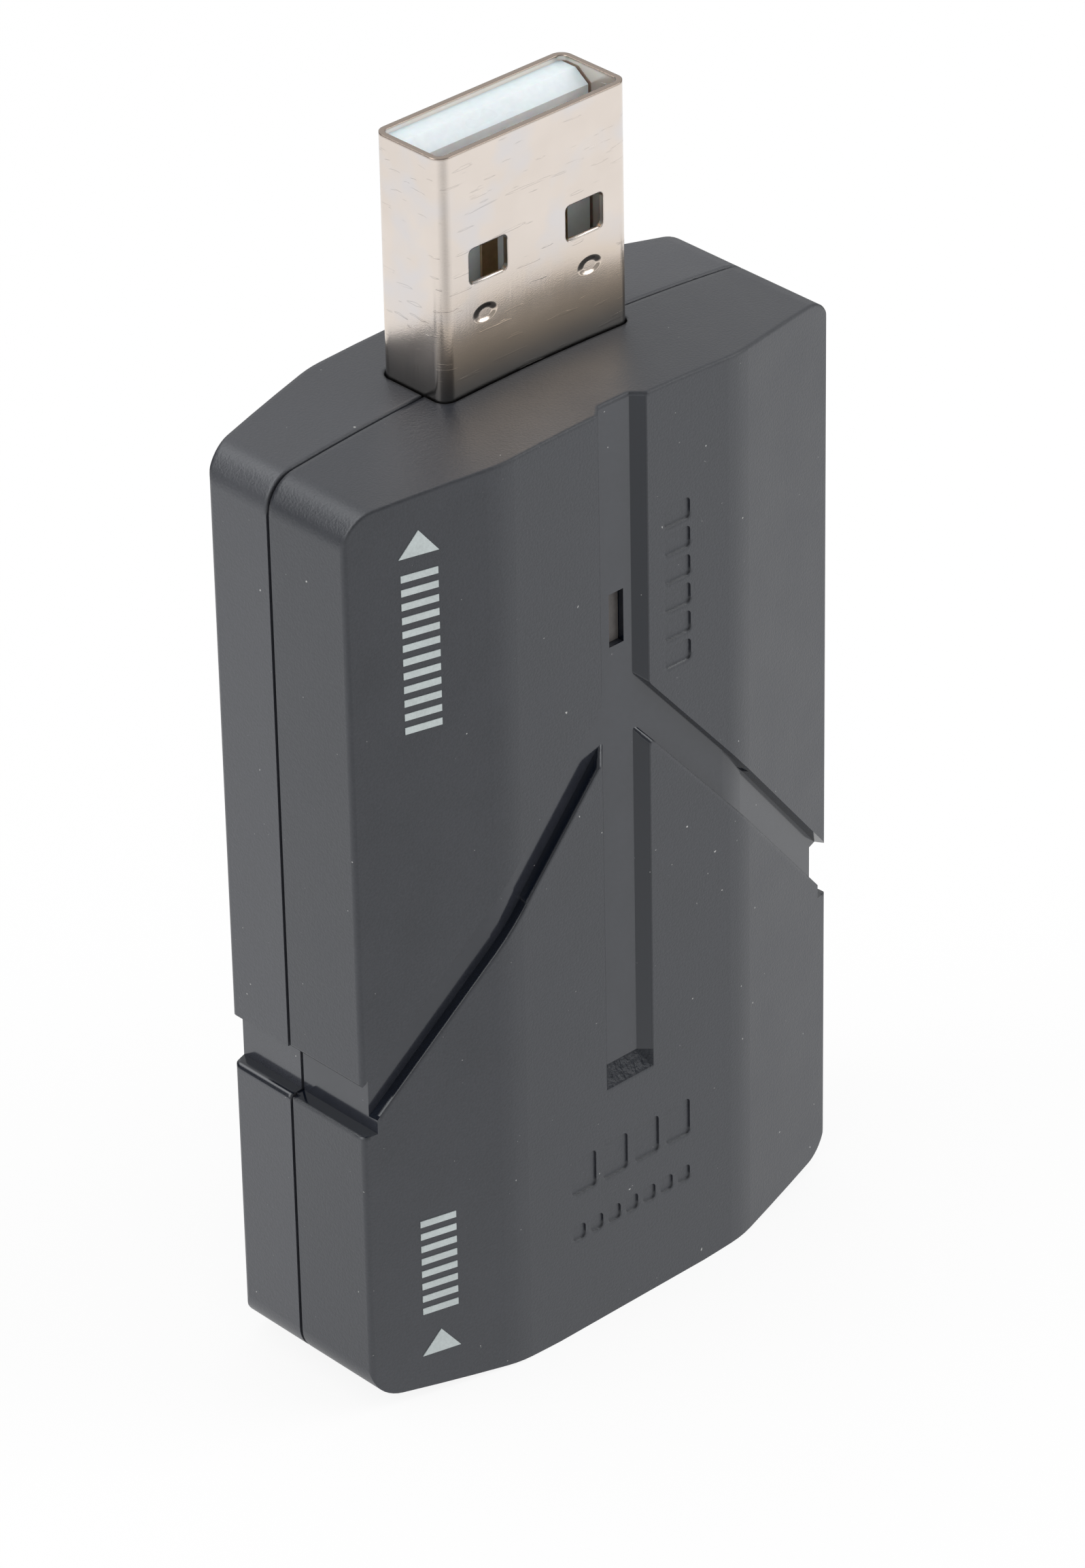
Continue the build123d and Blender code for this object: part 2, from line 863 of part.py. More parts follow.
def make_chip_resistors():
    """Two rows of small resistors below the indicator."""
    with BuildPart(board_face) as chip_resistors:
        with Locations((0, resistor_level)):
            with GridLocations(
                resistor_pitch_x, resistor_pitch_z, resistor_columns, resistor_rows
            ):
                Box(
                    resistor_width,
                    resistor_length,
                    resistor_height,
                    align=(Align.CENTER, Align.CENTER, Align.MIN),
                )
    chip_resistors.part.label = "chip_resistors"
    return chip_resistors.part


def make_esd_arrays():
    """Two protection arrays beside the HDMI socket."""
    with BuildPart(board_face) as esd_arrays:
        with Locations((0, esd_level)):
            with GridLocations(esd_reach * 2, 0, 2, 1):
                Box(
                    esd_width,
                    esd_length,
                    esd_height,
                    align=(Align.CENTER, Align.CENTER, Align.MIN),
                )
    esd_arrays.part.label = "esd_arrays"
    return esd_arrays.part


def make_light_guide():
    """Clear bar that carries the indicator's light to the window, with a flange inside the wall."""
    tip = groove_depth + guide_recess - front_depth
    seat = wall - front_depth
    end = board_front - led_height - guide_gap
    with BuildPart() as light_guide:
        with BuildSketch(Plane.XZ.offset(-end)):
            with Locations((0, window_level)):
                Rectangle(
                    window_width - guide_clearance * 2,
                    window_height - guide_clearance * 2,
                )
        extrude(amount=end - tip)
        with BuildSketch(Plane.XZ.offset(-seat - guide_flange_thickness)):
            with Locations((0, window_level)):
                Rectangle(window_width + guide_flange * 2, window_height + guide_flange * 2)
        extrude(amount=guide_flange_thickness)
    light_guide.part.label = "light_guide"
    return light_guide.part


def make_arrow(level, label):
    """Printed triangle on the left facet that points to the plug."""
    with BuildPart() as arrow:
        with BuildSketch(left_facet):
            with BuildLine():
                Polyline(
                    (arrow_reach - arrow_width / 2, level),
                    (arrow_reach + arrow_width / 2, level),
                    (arrow_reach, level + arrow_height),
                    close=True,
                )
            make_face()
        extrude(amount=mark_thickness)
    arrow.part.label = label
    return arrow.part


def make_dashes(low, count, label):
    """Printed column of plain dashes on the left facet, where a word would be."""
    with BuildPart() as dashes:
        with BuildSketch(left_facet):
            with Locations((arrow_reach, low + dash_pitch * (count - 1) / 2)):
                with GridLocations(0, dash_pitch, 1, count):
                    Rectangle(dash_width, dash_height)
        extrude(amount=mark_thickness)
    dashes.part.label = label
    return dashes.part


pieces = [
    make_front_shell(),
    make_rear_shell(),
    make_circuit_board(),
    make_usb_plug_shell(),
    make_usb_plug_insulator(),
    make_usb_contacts(),
    make_hdmi_socket_shell(),
    make_hdmi_socket_insulator(),
    make_hdmi_contacts_front(),
    make_hdmi_contacts_rear(),
    make_capture_chip(),
    make_capture_chip_leads(),
    block_on_board(
        memory_reach, memory_level, memory_width, memory_length, memory_height, "memory_chip"
    ),
    make_memory_chip_leads(),
    block_on_board(
        crystal_reach, crystal_level, crystal_width, crystal_length, crystal_height, "crystal"
    ),
    block_on_board(
        regulator_reach,
        regulator_level,
        regulator_width,
        regulator_length,
        regulator_height,
        "voltage_regulator",
    ),
    block_on_board(
        inductor_reach,
        inductor_level,
        inductor_side,
        inductor_side,
        inductor_height,
        "power_inductor",
    ),
    make_filter_capacitor(),
    make_ceramic_capacitors(),
    make_chip_resistors(),
    make_esd_arrays(),
    block_on_board(0, window_level, led_width, led_length, led_height, "status_led"),
    make_light_guide(),
    make_arrow(output_arrow_level, "output_arrow"),
    make_arrow(input_arrow_level, "input_arrow"),
    make_dashes(output_dashes_low, output_dashes, "output_dashes"),
    make_dashes(input_dashes_low, input_dashes, "input_dashes"),
]
for piece in pieces:
    piece.move(Pos(0, (front_depth - rear_depth) / 2, 0))
    export_step(piece, f"parts/{piece.label}.step")
    print(piece.label, round(piece.volume, 3), len(piece.solids()))
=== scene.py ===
"""Looks of the video capture box: its finishes, small formed details, floor, light and camera.

Metres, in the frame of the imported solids: Z up along the plug, -Y the grooved front, +X that face's right.
"""

import json
from math import cos, radians, sin

import bpy
from mathutils import Matrix, Vector


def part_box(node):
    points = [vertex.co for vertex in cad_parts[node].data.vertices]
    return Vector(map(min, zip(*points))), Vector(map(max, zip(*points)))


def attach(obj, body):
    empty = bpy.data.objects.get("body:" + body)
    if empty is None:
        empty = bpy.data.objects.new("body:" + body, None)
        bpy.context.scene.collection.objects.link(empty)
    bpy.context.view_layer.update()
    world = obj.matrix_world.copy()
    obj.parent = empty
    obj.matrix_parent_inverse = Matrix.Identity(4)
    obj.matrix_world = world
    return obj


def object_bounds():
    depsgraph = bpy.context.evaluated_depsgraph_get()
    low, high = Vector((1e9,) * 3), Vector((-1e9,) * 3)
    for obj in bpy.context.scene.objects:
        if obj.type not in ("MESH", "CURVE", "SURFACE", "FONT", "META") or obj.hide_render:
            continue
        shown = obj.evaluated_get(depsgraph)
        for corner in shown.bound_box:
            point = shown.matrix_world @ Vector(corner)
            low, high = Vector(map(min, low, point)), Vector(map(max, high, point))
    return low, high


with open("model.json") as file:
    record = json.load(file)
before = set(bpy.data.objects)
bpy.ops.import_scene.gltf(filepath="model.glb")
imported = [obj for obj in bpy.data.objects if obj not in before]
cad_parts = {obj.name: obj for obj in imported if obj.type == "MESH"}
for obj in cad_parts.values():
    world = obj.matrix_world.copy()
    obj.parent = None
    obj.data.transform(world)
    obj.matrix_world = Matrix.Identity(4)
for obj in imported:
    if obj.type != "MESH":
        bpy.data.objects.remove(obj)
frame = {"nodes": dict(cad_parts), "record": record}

MM = 0.001
cad_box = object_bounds()
nodes = frame["nodes"]
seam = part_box("front_shell")[1][1]

# Camera, fitted to the edges of the case and of the plug
IMAGE_WIDTH = 1596
SENSOR_WIDTH = 36.0
FOCAL_PIXELS = 10762.0
CAMERA_AZIMUTH = radians(-42.733)
CAMERA_ELEVATION = radians(31.607)
CAMERA_ROLL = radians(-1.112)
CAMERA_DISTANCE = 353.43 * MM
CAMERA_AIM = Vector((-1.663, -2.483, 29.326)) * MM
CAMERA_CLIP = 10 * MM

# Grooves of the front face and of the sides, whose walls and floors are polished, and whose walls and the
# channel's end slope carry painted shade
FRONT_LEVEL = cad_box[0][1]
FACET_START = 7.7 * MM
FACET_SLOPE = 0.2628
HALF_WIDTH = cad_box[1][0]
CHANNEL_HALF = 1.65 * MM
CHANNEL_LOW = 14.4 * MM
CHANNEL_HIGH = 51.0 * MM
FORK_LOW = 15.9 * MM
FORK_HIGH = 36.5 * MM
SLOPE_LOW = 13.0 * MM
FRONT_DEPTH = 0.6 * MM
SIDE_DEPTH = 0.75 * MM
DEPTH_LIMIT = 1.0 * MM
SIDE_LIMIT = 0.9 * MM
DEEP_FROM = 0.36 * MM
FLOOR_BAND = 0.12 * MM
RIM_MARGIN = 0.05 * MM
SLOPE_MARGIN = 0.02 * MM
EDGE_MARGIN = 0.2 * MM
STEEP_LEAN = 0.25
WALL_LEAN = 0.3
SIDE_LEAN = 0.8
POLISH = 0.12

# USB plug: its middle, the pits below its windows, the windows' lower edges, its tip, and its lower part and
# foot, which carry painted reflection
PLUG_REACH = 0.2 * MM
PLUG_DEPTH = 1.46 * MM
PLUG_HALF_DEPTH = 2.25 * MM
PIT_FACE = 2.1 * MM
PIT_REACH = 3.35 * MM
PIT_LEVEL = 55.0 * MM
PIT_HALF_WIDTH = 0.8 * MM
PIT_HALF_HEIGHT = 0.5 * MM
WINDOW_REACH = 3.07 * MM
WINDOW_FOOT = 56.69 * MM
LIP_HALF_LENGTH = 1.0 * MM
LIP_RADIUS = 0.11 * MM
PLUG_TIP = cad_box[1][2]
RIM_BAND = 0.15 * MM
REFLECTION_WARM_LOW = 52.0 * MM
REFLECTION_WARM_HIGH = 57.5 * MM
FOOT_SHADE_LOW = 51.0 * MM
FOOT_SHADE_HIGH = 54.2 * MM

# Shaders
LEAN_UP = 0.02
WEAVE_PER_METRE = 9000.0
RANGE_SOCKETS = ("From Min", "From Max", "To Min", "To Max")

# Light
AMBIENT_STRENGTH = 0.84
WHITE_STRENGTH = 1.0
FLOOR_SIZE = 3.0
FLOOR_SHADE = 0.92
FLOOR_GLOW = 0.88
FLOOR_ROUGHNESS = 0.9
DIM_SPOT = (-30 * MM, -80 * MM, 0)
DIM_REACH = 100 * MM
DIM_SHADE = 0.4
FAR_NEAR = 200 * MM
FAR_FULL = 320 * MM
FAR_SHADE = 0.15
ROOM_SPAN = (-0.8, 1.0)
ROOM_SHADES = (0.35, 0.85)
BRIGHT_HEIGHTS = (0.55, 0.72)
BRIGHT_SHADES = (0.05, 2.8)
BRIGHT_BACK = (0.1, 0.4)
BRIGHT_LEFT = (0.15, -0.1)
LAMP_DISTANCE = 0.7
LAMP_SIZE = 0.5
LAMP_ELEVATION = 30
LAMP_POWER = 1.6
LEFT_LAMP_AZIMUTH = -110
RIGHT_LAMP_AZIMUTH = 50


class Finish:
    """A procedural material, built step by step round one Principled shader."""

    def __init__(self, name, colour, roughness, **inputs):
        self.material = bpy.data.materials.new(name)
        self.material.use_nodes = True
        self.tree = self.material.node_tree
        self.shader = self.tree.nodes["Principled BSDF"]
        self.shader.inputs["Base Color"].default_value = (*colour, 1)
        self.shader.inputs["Roughness"].default_value = roughness
        for socket, value in inputs.items():
            self.shader.inputs[socket.replace("_", " ")].default_value = value
        self.place = self.node("ShaderNodeTexCoord").outputs["Object"]
        self.normal = None

    def node(self, kind, **settings):
        made = self.tree.nodes.new(kind)
        for name, value in settings.items():
            setattr(made, name, value)
        return made

    def link(self, source, target):
        self.tree.links.new(source, target)

    def noise(self, per_mm, detail=3.0, stretch=(1, 1, 1)):
        """Noise with about per_mm grains to the millimetre, made finer along each axis by stretch."""
        mapping = self.node("ShaderNodeMapping")
        mapping.inputs["Scale"].default_value = [per_mm / MM * s for s in stretch]
        self.link(self.place, mapping.inputs["Vector"])
        texture = self.node("ShaderNodeTexNoise")
        texture.inputs["Scale"].default_value = 1
        texture.inputs["Detail"].default_value = detail
        self.link(mapping.outputs["Vector"], texture.inputs["Vector"])
        return texture.outputs["Fac"]

    def spread(self, value, low, high, to_low=0.0, to_high=1.0, smooth=False):
        """value, stretched from low..high to to_low..to_high and held at the ends."""
        kind = "SMOOTHSTEP" if smooth else "LINEAR"
        step = self.node("ShaderNodeMapRange", interpolation_type=kind)
        self.link(value, step.inputs["Value"])
        for socket, number in zip(RANGE_SOCKETS, (low, high, to_low, to_high)):
            step.inputs[socket].default_value = number
        return step.outputs["Result"]

    def math(self, operation, first, second):
        """One sum of two values, each a socket or a number."""
        step = self.node("ShaderNodeMath", operation=operation)
        for socket, value in zip(step.inputs, (first, second)):
            if isinstance(value, (int, float)):
                socket.default_value = value
            else:
                self.link(value, socket)
        return step.outputs[0]

    def size(self, value):
        """A value without its sign."""
        return self.math("ABSOLUTE", value, 0.0)

    def times(self, first, second):
        """The product of two values, which is where both masks are 1."""
        return self.math("MULTIPLY", first, second)

    def either(self, first, second):
        """The larger of two values, which is where either mask is 1."""
        return self.math("MAXIMUM", first, second)

    def minus(self, first, second):
        """The difference of two values; 1.0 minus a mask turns it round."""
        return self.math("SUBTRACT", first, second)

    def above(self, value, limit):
        """1 where a value is over a limit, else 0."""
        return self.math("GREATER_THAN", value, limit)

    def between(self, value, low, high):
        """1 where a value lies between two others, else 0."""
        return self.times(self.above(value, low), self.math("LESS_THAN", value, high))

    def axes(self, vector):
        """The three parts of a vector."""
        split = self.node("ShaderNodeSeparateXYZ")
        self.link(vector, split.inputs[0])
        return split.outputs

    def facing(self):
        """The surface's own direction, as three parts."""
        return self.axes(self.node("ShaderNodeNewGeometry").outputs["True Normal"])

    def mix(self, mask, first, second):
        """Colour between first and second by a mask, each a socket or a colour."""
        blend = self.node("ShaderNodeMix", data_type="RGBA")
        self.link(mask, blend.inputs["Factor"])
        for socket, value in zip((blend.inputs[6], blend.inputs[7]), (first, second)):
            if isinstance(value, tuple):
                socket.default_value = (*value, 1)
            else:
                self.link(value, socket)
        return blend.outputs[2]

    def colour(self, source):
        self.link(source, self.shader.inputs["Base Color"])

    def roughness(self, source):
        self.link(source, self.shader.inputs["Roughness"])

    def bump(self, height, depth_mm):
        """Small relief of the surface, laid over what is there already."""
        relief = self.node("ShaderNodeBump")
        relief.inputs["Strength"].default_value = 1
        relief.inputs["Distance"].default_value = depth_mm * MM
        self.link(height, relief.inputs["Height"])
        if self.normal is not None:
            self.link(self.normal, relief.inputs["Normal"])
        self.normal = relief.outputs["Normal"]
        self.link(self.normal, self.shader.inputs["Normal"])

    def soften(self, radius_mm, crisp=None):
        """Rounds the light over sharp edges: over all, or over those that lean up outside the crisp mask."""
        bevel = self.node("ShaderNodeBevel", samples=8)
        bevel.inputs["Radius"].default_value = radius_mm * MM
        self.normal = bevel.outputs["Normal"]
        if crisp is not None:
            _, _, rise = self.axes(self.normal)
            soft = self.times(self.above(rise, LEAN_UP), self.minus(1.0, crisp))
            blend = self.node("ShaderNodeMix", data_type="VECTOR")
            self.link(soft, blend.inputs["Factor"])
            self.link(self.node("ShaderNodeNewGeometry").outputs["Normal"], blend.inputs[4])
            self.link(self.normal, blend.inputs[5])
            self.normal = blend.outputs[1]
        self.link(self.normal, self.shader.inputs["Normal"])


def grainy(name, dark, light, grain_per_mm, roughness, relief_mm, **inputs):
    """Finish whose colour, gloss and relief all vary with one grain and a broader mottle."""
    finish = Finish(name, light, roughness, **inputs)
    grain = finish.noise(grain_per_mm)
    mottle = finish.noise(grain_per_mm * 0.08, detail=2)
    finish.colour(finish.mix(finish.spread(finish.math("ADD", grain, mottle), 0.7, 1.3), dark, light))
    finish.roughness(finish.spread(mottle, 0.3, 0.7, roughness * 0.85, roughness * 1.15))
    finish.bump(grain, relief_mm)
    return finish


def groove_masks(finish):
    """1 on the grooves' walls, 1 on their floors, 1 on their deep parts and 1 on the channel's end slope."""
    x, y, z = finish.axes(finish.place)
    lean_x, _, lean_z = finish.facing()
    across = finish.size(lean_x)
    reach = finish.size(x)
    inner = finish.minus(HALF_WIDTH, reach)
    fall = finish.either(finish.minus(reach, FACET_START), 0.0)
    depth = finish.minus(y, finish.math("ADD", finish.times(fall, FACET_SLOPE), FRONT_LEVEL))
    level = finish.between(z, FORK_LOW, FORK_HIGH)
    inside = finish.above(inner, EDGE_MARGIN)
    middle = finish.math("LESS_THAN", reach, CHANNEL_HALF)
    channel = finish.times(middle, finish.between(z, CHANNEL_LOW, CHANNEL_HIGH))
    sunken = finish.times(channel, finish.between(depth, RIM_MARGIN, DEPTH_LIMIT))

    steep = finish.times(level, finish.above(finish.size(lean_z), STEEP_LEAN))
    walls = finish.either(steep, finish.times(sunken, finish.above(across, WALL_LEAN)))

    low = finish.between(depth, FRONT_DEPTH - FLOOR_BAND, FRONT_DEPTH + FLOOR_BAND)
    upright = finish.between(inner, SIDE_DEPTH - FLOOR_BAND, SIDE_DEPTH + FLOOR_BAND)
    side_floor = finish.times(upright, finish.above(across, SIDE_LEAN))
    fork_floor = finish.times(inside, low)
    floors = finish.times(level, finish.either(fork_floor, side_floor))
    floors = finish.either(floors, finish.times(sunken, low))

    front = finish.either(channel, finish.times(level, inside))
    front_deep = finish.times(front, finish.between(depth, DEEP_FROM, DEPTH_LIMIT))
    side_deep = finish.times(level, finish.between(inner, DEEP_FROM, SIDE_LIMIT))
    deep = finish.either(front_deep, side_deep)

    slope = finish.times(middle, finish.between(z, SLOPE_LOW, CHANNEL_LOW))
    slope = finish.times(slope, finish.between(depth, SLOPE_MARGIN, DEPTH_LIMIT))
    return walls, floors, deep, slope


def case_plastic():
    """Charcoal plastic with a fine grain, polished grooves and a little dust; the groove walls and the
    channel's end slope carry painted shade, and the back shell is painted paler for the light its faces
    catch.
    """
    finish = Finish("case_plastic", (0.019, 0.021, 0.028), 0.4, IOR=1.6)
    finish.shader.inputs["Specular Tint"].default_value = (0.965, 0.985, 1.0, 1)
    walls, floors, deep, slope = groove_masks(finish)
    finish.soften(0.3, deep)
    grain = finish.noise(8.0, detail=3)
    mottle = finish.noise(0.35, detail=3)
    blotch = finish.math("ADD", finish.times(grain, 0.6), finish.times(mottle, 0.4))
    shade = finish.spread(blotch, 0.35, 0.65)
    front = finish.mix(shade, (0.015, 0.017, 0.023), (0.024, 0.026, 0.034))
    # painted light: the back shell's tones are paler than the front's, for the extra light its faces catch
    rear_painted_light = finish.mix(shade, (0.032, 0.034, 0.041), (0.041, 0.043, 0.052))
    _, y, _ = finish.axes(finish.place)
    base = finish.mix(finish.above(y, seam), front, rear_painted_light)
    # painted shade: the groove walls and the channel's end slope are painted near black for the dark they
    # reflect
    base = finish.mix(finish.either(walls, slope), base, (0.004, 0.006, 0.012))
    dust = finish.spread(finish.noise(3.4, detail=1), 0.80, 0.84)
    finish.colour(finish.mix(dust, base, (0.4, 0.4, 0.39)))
    grained = finish.spread(mottle, 0.3, 0.7, 0.36, 0.42)
    smooth = finish.either(walls, floors)
    finish.roughness(finish.minus(grained, finish.times(smooth, finish.minus(grained, POLISH))))
    finish.bump(finish.times(grain, finish.minus(1.0, smooth)), 0.016)
    finish.bump(finish.times(finish.noise(3.5, detail=3), slope), 0.12)
    gloss = finish.minus(0.65, finish.times(slope, 0.3))
    finish.link(gloss, finish.shader.inputs["Specular IOR Level"])
    return finish


def connector_steel():
    """Nickel-plated steel of a warmer tone, with painted reflection of the dark case: brownish on the broad
    faces low down and dark at the foot; a darker rim, rolling lines, stains and scratches.
    """
    finish = Finish("connector_steel", (0.74, 0.67, 0.62), 0.3, Metallic=1.0)
    finish.soften(0.1)
    x, y, z = finish.axes(finish.place)
    _, broad, _ = finish.facing()
    stain = finish.noise(0.5, detail=3)
    clean = finish.mix(finish.spread(stain, 0.3, 0.7), (0.74, 0.665, 0.605), (0.79, 0.715, 0.655))
    cool = finish.spread(finish.noise(0.35, detail=2), 0.5, 0.66, 0.0, 0.7)
    clean = finish.mix(cool, clean, (0.71, 0.69, 0.70))
    # painted reflection: the broad faces turn brownish towards the foot
    low = finish.spread(z, REFLECTION_WARM_LOW, REFLECTION_WARM_HIGH, 1.0, 0.0, True)
    warm_painted_reflection = finish.mix(finish.times(low, finish.size(broad)), clean, (0.74, 0.59, 0.44))
    # painted shade: the foot is painted dark for the dark case it reflects
    foot = finish.spread(z, FOOT_SHADE_LOW, FOOT_SHADE_HIGH, 1.0, 0.0, True)
    foot_painted_shade = finish.mix(foot, warm_painted_reflection, (0.26, 0.25, 0.24))
    rim = finish.spread(z, PLUG_TIP - RIM_BAND, PLUG_TIP, 0.0, 1.0, True)
    finish.colour(finish.mix(rim, foot_painted_shade, (0.40, 0.33, 0.28)))
    finish.roughness(finish.spread(stain, 0.3, 0.7, 0.18, 0.24))
    finish.bump(finish.noise(6.0, detail=4, stretch=(1, 1, 0.06)), 0.004)
    finish.bump(finish.noise(14.0, detail=2), 0.003)
    scratch = finish.noise(0.8, detail=1, stretch=(0.5, 1, 6))
    finish.bump(finish.spread(scratch, 0.68, 0.70), 0.003)
    finish.bump(stamped_pits(finish, x, y, z), 0.16)
    return finish


def stamped_pits(finish, x, y, z):
    """Two small oval pits below the windows on each broad side, as a height from 0 to 1."""
    side = finish.above(finish.size(finish.minus(y, PLUG_DEPTH)), PIT_FACE)
    reach = finish.minus(finish.size(finish.minus(x, PLUG_REACH)), PIT_REACH)
    across = finish.math("DIVIDE", reach, PIT_HALF_WIDTH)
    along = finish.math("DIVIDE", finish.minus(z, PIT_LEVEL), PIT_HALF_HEIGHT)
    square = finish.math("ADD", finish.times(across, across), finish.times(along, along))
    bowl = finish.spread(finish.math("SQRT", square, 0.0), 0.45, 1.0, 0.0, 1.0, smooth=True)
    return finish.minus(1.0, finish.times(finish.minus(1.0, bowl), side))


def plug_plastic():
    """Pale cool plastic with a slight gloss and moulding haze."""
    glow = {"Subsurface_Weight": 0.3, "Subsurface_Scale": 0.0015}
    return grainy("plug_plastic", (0.76, 0.82, 0.85), (0.83, 0.89, 0.92), 3.0, 0.3, 0.004, **glow)


def socket_plastic():
    """Black heat-proof plastic."""
    return grainy("socket_plastic", (0.012, 0.012, 0.012), (0.03, 0.03, 0.031), 6.0, 0.5, 0.01)


def contact_gold():
    """Thin gold over nickel, with rub marks along each strip."""
    finish = grainy(
        "contact_gold", (0.74, 0.55, 0.34), (0.88, 0.68, 0.45), 4.0, 0.4, 0.002, Metallic=1.0
    )
    finish.bump(finish.noise(12.0, stretch=(1, 1, 0.05)), 0.002)
    return finish


def board_laminate():
    """Green lacquered board with its glass weave showing and paler tracks under the lacquer."""
    finish = Finish("board_laminate", (0.01, 0.12, 0.05), 0.3, Coat_Weight=0.3)
    x, _, z = finish.axes(finish.place)
    threads = [finish.math("SINE", finish.times(place, WEAVE_PER_METRE), 0.0) for place in (x, z)]
    weave = finish.times(*threads)
    tracks = finish.spread(finish.noise(0.9, detail=0, stretch=(1, 1, 0.3)), 0.5, 0.52)
    lacquer = finish.mix(tracks, (0.006, 0.10, 0.04), (0.012, 0.17, 0.07))
    finish.colour(finish.mix(finish.spread(weave, 0.5, 1.0, 0.0, 0.3), lacquer, (0.03, 0.2, 0.1)))
    finish.bump(finish.math("ADD", weave, tracks), 0.01)
    return finish


def chip_epoxy():
    """Black moulded epoxy with a fine ground surface."""
    return grainy("chip_epoxy", (0.015, 0.015, 0.016), (0.035, 0.035, 0.036), 10.0, 0.55, 0.01)


def tinned_leads():
    """Bright tin with solder ripples."""
    return grainy(
        "tinned_leads", (0.60, 0.60, 0.61), (0.80, 0.80, 0.81), 6.0, 0.28, 0.008, Metallic=1.0
    )


def crystal_metal():
    """Plain drawn metal can."""
    return grainy(
        "crystal_metal", (0.58, 0.58, 0.57), (0.72, 0.72, 0.71), 5.0, 0.3, 0.004, Metallic=1.0
    )


def inductor_ferrite():
    """Pressed dark ferrite powder."""
    return grainy("inductor_ferrite", (0.035, 0.035, 0.04), (0.075, 0.075, 0.08), 9.0, 0.65, 0.02)


def capacitor_metal():
    """Bare drawn aluminium."""
    return grainy(
        "capacitor_metal", (0.70, 0.70, 0.72), (0.84, 0.84, 0.85), 5.0, 0.3, 0.004, Metallic=1.0
    )


def ceramic_body():
    """Tan fired ceramic."""
    return grainy("ceramic_body", (0.40, 0.28, 0.17), (0.56, 0.42, 0.28), 7.0, 0.45, 0.01)


def resistor_body():
    """Black glaze over white ceramic."""
    return grainy("resistor_body", (0.02, 0.02, 0.025), (0.05, 0.05, 0.06), 7.0, 0.3, 0.006)


def led_resin():
    """Clear yellowish resin with phosphor grains."""
    return grainy("led_resin", (0.75, 0.70, 0.40), (0.88, 0.86, 0.66), 8.0, 0.25, 0.004)


def guide_plastic():
    """Smoky clear plastic; the frosting at its tip is not drawn."""
    return grainy("guide_plastic", (0.055, 0.05, 0.048), (0.085, 0.078, 0.074), 5.0, 0.4, 0.006)


def print_ink():
    """Pad-printed white ink, a little uneven, over the case's grain."""
    return grainy("print_ink", (0.41, 0.45, 0.45), (0.49, 0.54, 0.54), 8.0, 0.5, 0.006)


FINISHES = (
    case_plastic,
    connector_steel,
    plug_plastic,
    socket_plastic,
    contact_gold,
    board_laminate,
    chip_epoxy,
    tinned_leads,
    crystal_metal,
    inductor_ferrite,
    capacitor_metal,
    ceramic_body,
    resistor_body,
    led_resin,
    guide_plastic,
    print_ink,
)


def dress_nodes(materials):
    """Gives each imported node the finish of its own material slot."""
    slots = {part["node"]: part["material_slot"] for part in frame["record"]["subparts"]}
    for name, piece in nodes.items():
        for holder in piece.material_slots:
            holder.material = materials[slots[name]]


def rolled_bar(middle, half_length, radius, sides=12, rings=5):
    """Points and faces of a thin bar along X with rounded ends."""
    points, faces = [], []
    for end in (-1, 1):
        steps = range(rings) if end < 0 else range(rings - 1, -1, -1)
        for step in steps:
            lean = radians(90) * (1 - step / rings)
            place = end * (half_length - radius + radius * sin(lean))
            size = radius * cos(lean) if step else radius * 0.02
            for side in range(sides):
                turn = radians(360) * side / sides
                points.append(middle + Vector((place, size * cos(turn), size * sin(turn))))
    loops = len(points) // sides
    for loop in range(loops - 1):
        for side in range(sides):
            after = (side + 1) % sides
            here, there = loop * sides, (loop + 1) * sides
            faces.append((here + side, here + after, there + after, there + side))
    faces.append(tuple(range(sides))[::-1])
    faces.append(tuple(range(len(points) - sides, len(points))))
    return points, faces


def make_window_lips():
    """Rolled lower edges of the plug's four windows."""
    points, faces = [], []
    for turn in (-1, 1):
        for reach in (-WINDOW_REACH, WINDOW_REACH):
            depth = PLUG_DEPTH + turn * (PLUG_HALF_DEPTH - LIP_RADIUS * 0.9)
            middle = Vector((PLUG_REACH + reach, depth, WINDOW_FOOT))
            more, shapes = rolled_bar(middle, LIP_HALF_LENGTH, LIP_RADIUS)
            faces.extend(tuple(corner + len(points) for corner in shape) for shape in shapes)
            points.extend(more)
    mesh = bpy.data.meshes.new("plug_window_lips")
    mesh.from_pydata(points, [], faces)
    mesh.shade_smooth()
    mesh.materials.append(materials["connector_steel"])
    lips = bpy.data.objects.new("plug_window_lips", mesh)
    bpy.context.scene.collection.objects.link(lips)
    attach(lips, "root")


def ray_mask(tree, names):
    """1 for the named kinds of ray, else 0."""
    path = tree.nodes.new("ShaderNodeLightPath")
    seen = path.outputs[names[0]]
    for name in names[1:]:
        step = tree.nodes.new("ShaderNodeMath")
        step.operation = "MAXIMUM"
        tree.links.new(seen, step.inputs[0])
        tree.links.new(path.outputs[name], step.inputs[1])
        seen = step.outputs[0]
    return seen


def ramp(tree, value, low, high, to_low, to_high):
    """value, stretched from low..high to to_low..to_high and held at the ends."""
    step = tree.nodes.new("ShaderNodeMapRange")
    tree.links.new(value, step.inputs["Value"])
    for socket, number in zip(RANGE_SOCKETS, (low, high, to_low, to_high)):
        if isinstance(number, (int, float)):
            step.inputs[socket].default_value = number
        else:
            tree.links.new(number, step.inputs[socket])
    return step.outputs["Result"]


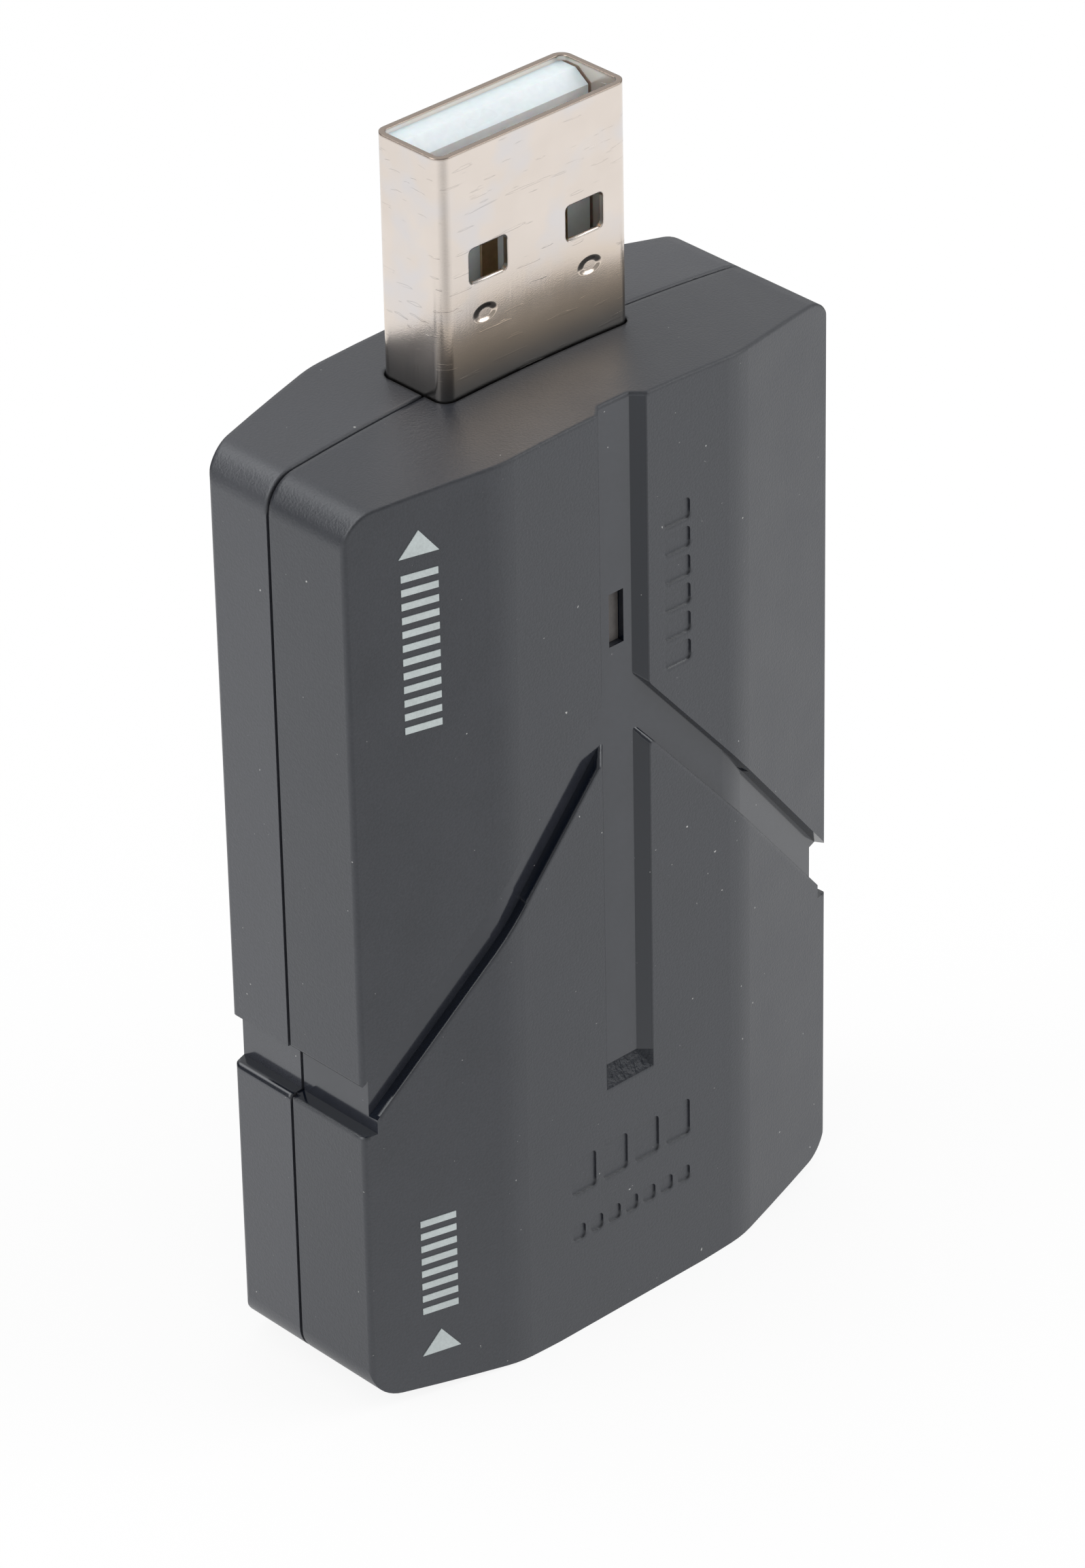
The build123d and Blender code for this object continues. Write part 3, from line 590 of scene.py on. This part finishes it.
def make_floor():
    """Pale floor: white to the camera but for the shadow, and dimmer in gloss in front and far off."""
    half = FLOOR_SIZE / 2
    mesh = bpy.data.meshes.new("floor")
    corners = [(-half, -half, 0), (half, -half, 0), (half, half, 0), (-half, half, 0)]
    mesh.from_pydata(corners, [], [(0, 1, 2, 3)])
    floor = bpy.data.objects.new("floor", mesh)
    bpy.context.scene.collection.objects.link(floor)
    material = bpy.data.materials.new("floor_white")
    material.use_nodes = True
    tree = material.node_tree
    shader = tree.nodes["Principled BSDF"]
    shader.inputs["Base Color"].default_value = (FLOOR_SHADE, FLOOR_SHADE, FLOOR_SHADE, 1)
    shader.inputs["Roughness"].default_value = FLOOR_ROUGHNESS
    place = tree.nodes.new("ShaderNodeTexCoord")
    distance = tree.nodes.new("ShaderNodeVectorMath")
    distance.operation = "DISTANCE"
    distance.inputs[1].default_value = DIM_SPOT
    tree.links.new(place.outputs["Object"], distance.inputs[0])
    dimmed = ramp(tree, distance.outputs["Value"], 0, DIM_REACH, DIM_SHADE, WHITE_STRENGTH)
    dimmed = ramp(tree, distance.outputs["Value"], FAR_NEAR, FAR_FULL, dimmed, FAR_SHADE)
    camera = ray_mask(tree, ["Is Camera Ray"])
    strength = ramp(tree, camera, 0, 1, dimmed, WHITE_STRENGTH)
    glow = tree.nodes.new("ShaderNodeEmission")
    tree.links.new(strength, glow.inputs["Strength"])
    seen = ray_mask(tree, ["Is Camera Ray", "Is Glossy Ray"])
    weight = ramp(tree, seen, 0, 1, 0, FLOOR_GLOW)
    blend = tree.nodes.new("ShaderNodeMixShader")
    tree.links.new(weight, blend.inputs["Fac"])
    tree.links.new(shader.outputs[0], blend.inputs[1])
    tree.links.new(glow.outputs[0], blend.inputs[2])
    tree.links.new(blend.outputs[0], tree.nodes["Material Output"].inputs["Surface"])
    mesh.materials.append(material)


def make_world():
    """Pale surroundings: white to the camera, and in gloss dim in front and bright high up behind."""
    world = bpy.data.worlds.new("surroundings")
    world.use_nodes = True
    bpy.context.scene.world = world
    tree = world.node_tree
    background = tree.nodes["Background"]
    background.inputs["Color"].default_value = (1, 1, 1, 1)
    place = tree.nodes.new("ShaderNodeTexCoord")
    split = tree.nodes.new("ShaderNodeSeparateXYZ")
    tree.links.new(place.outputs["Generated"], split.inputs[0])
    room = ramp(tree, split.outputs["Y"], *ROOM_SPAN, *ROOM_SHADES)
    bright = ramp(tree, split.outputs["Z"], *BRIGHT_HEIGHTS, *BRIGHT_SHADES)
    behind = ramp(tree, split.outputs["Y"], *BRIGHT_BACK, room, bright)
    room = ramp(tree, split.outputs["X"], *BRIGHT_LEFT, room, behind)
    glossy = ramp(tree, ray_mask(tree, ["Is Glossy Ray"]), 0, 1, AMBIENT_STRENGTH, room)
    plain = ray_mask(tree, ["Is Camera Ray", "Is Transmission Ray"])
    tree.links.new(ramp(tree, plain, 0, 1, glossy, WHITE_STRENGTH), background.inputs["Strength"])


def make_lamp(name, azimuth):
    """Soft square lamp aimed at the box from a direction round it."""
    lamp = bpy.data.lights.new(name, "AREA")
    lamp.shape = "SQUARE"
    lamp.size = LAMP_SIZE
    lamp.energy = LAMP_POWER
    holder = bpy.data.objects.new(name, lamp)
    turn, rise = radians(azimuth), radians(LAMP_ELEVATION)
    away = Vector((sin(turn) * cos(rise), -cos(turn) * cos(rise), sin(rise)))
    holder.location = CAMERA_AIM + away * LAMP_DISTANCE
    holder.rotation_euler = away.to_track_quat("Z", "Y").to_euler()
    bpy.context.scene.collection.objects.link(holder)


def make_camera():
    """Camera at the photograph's place, aimed and rolled as it was."""
    data = bpy.data.cameras.new("camera")
    data.sensor_fit = "HORIZONTAL"
    data.sensor_width = SENSOR_WIDTH
    data.lens = FOCAL_PIXELS * SENSOR_WIDTH / IMAGE_WIDTH
    data.clip_start = CAMERA_CLIP
    camera = bpy.data.objects.new("camera", data)
    bpy.context.scene.collection.objects.link(camera)
    level = cos(CAMERA_ELEVATION)
    back = Vector((sin(CAMERA_AZIMUTH) * level, -cos(CAMERA_AZIMUTH) * level, sin(CAMERA_ELEVATION)))
    right = Vector((cos(CAMERA_AZIMUTH), sin(CAMERA_AZIMUTH), 0))
    up = back.cross(right)
    rolled_right = right * cos(CAMERA_ROLL) + up * sin(CAMERA_ROLL)
    rolled_up = up * cos(CAMERA_ROLL) - right * sin(CAMERA_ROLL)
    turn = Matrix((rolled_right, rolled_up, back)).transposed()
    camera.matrix_world = Matrix.Translation(CAMERA_AIM + back * CAMERA_DISTANCE) @ turn.to_4x4()
    bpy.context.scene.camera = camera


materials = {make.__name__: make().material for make in FINISHES}
dress_nodes(materials)
make_window_lips()
make_camera()
make_floor()
make_world()
make_lamp("left_lamp", LEFT_LAMP_AZIMUTH)
make_lamp("right_lamp", RIGHT_LAMP_AZIMUTH)
bpy.context.scene.view_settings.view_transform = "Standard"
